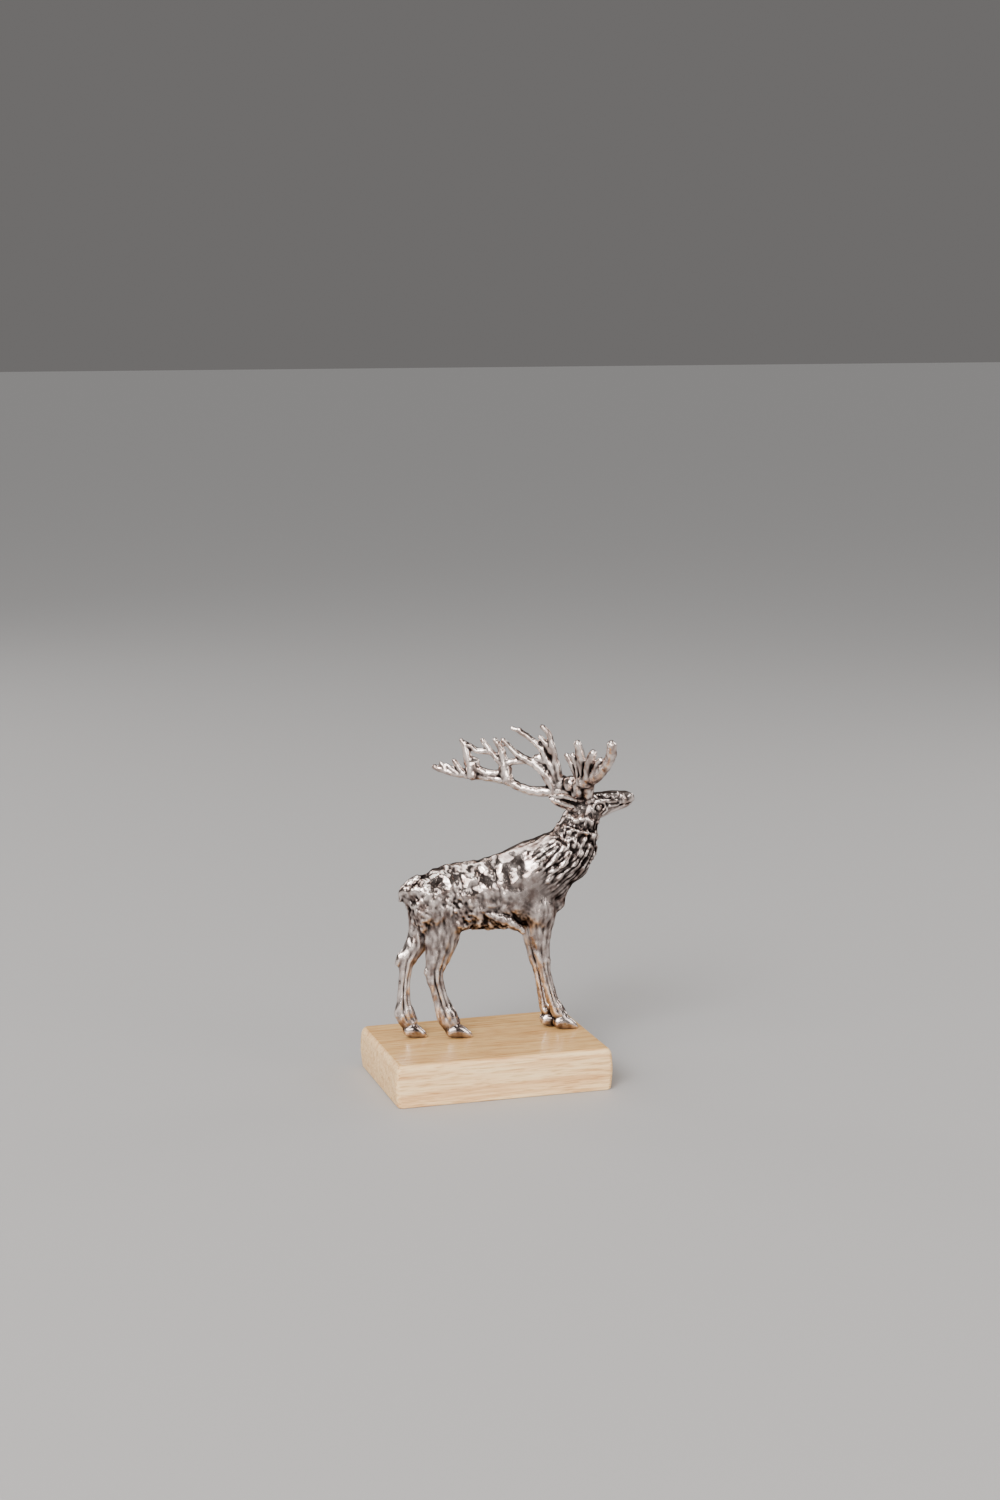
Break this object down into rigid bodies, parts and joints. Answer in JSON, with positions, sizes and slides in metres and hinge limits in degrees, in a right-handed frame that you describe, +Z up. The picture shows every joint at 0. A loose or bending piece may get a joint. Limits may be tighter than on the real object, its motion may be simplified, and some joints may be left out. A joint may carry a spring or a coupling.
{
  "type": "reindeer figurine",
  "caption": "Cast metal stag-like reindeer standing on a rectangular lacquered wooden block, its head turned to its left.",
  "frame": {"origin": "centre of the wooden block's underside", "axes": "+X the way the animal's body faces, +Y the animal's left, +Z up"},
  "size_m": [0.1061, 0.0606, 0.133],
  "materials": {
    "cast_metal": "bright polished silver metal with warm grey reflections, finer grain on the haunches and hair on the neck",
    "lacquered_wood": "pale tan wood with straight grain along X under a satin lacquer"
  },
  "bodies": {
    "root": {"reindeer": "cast_metal", "wood_base": "lacquered_wood"}
  },
  "joints": []
}
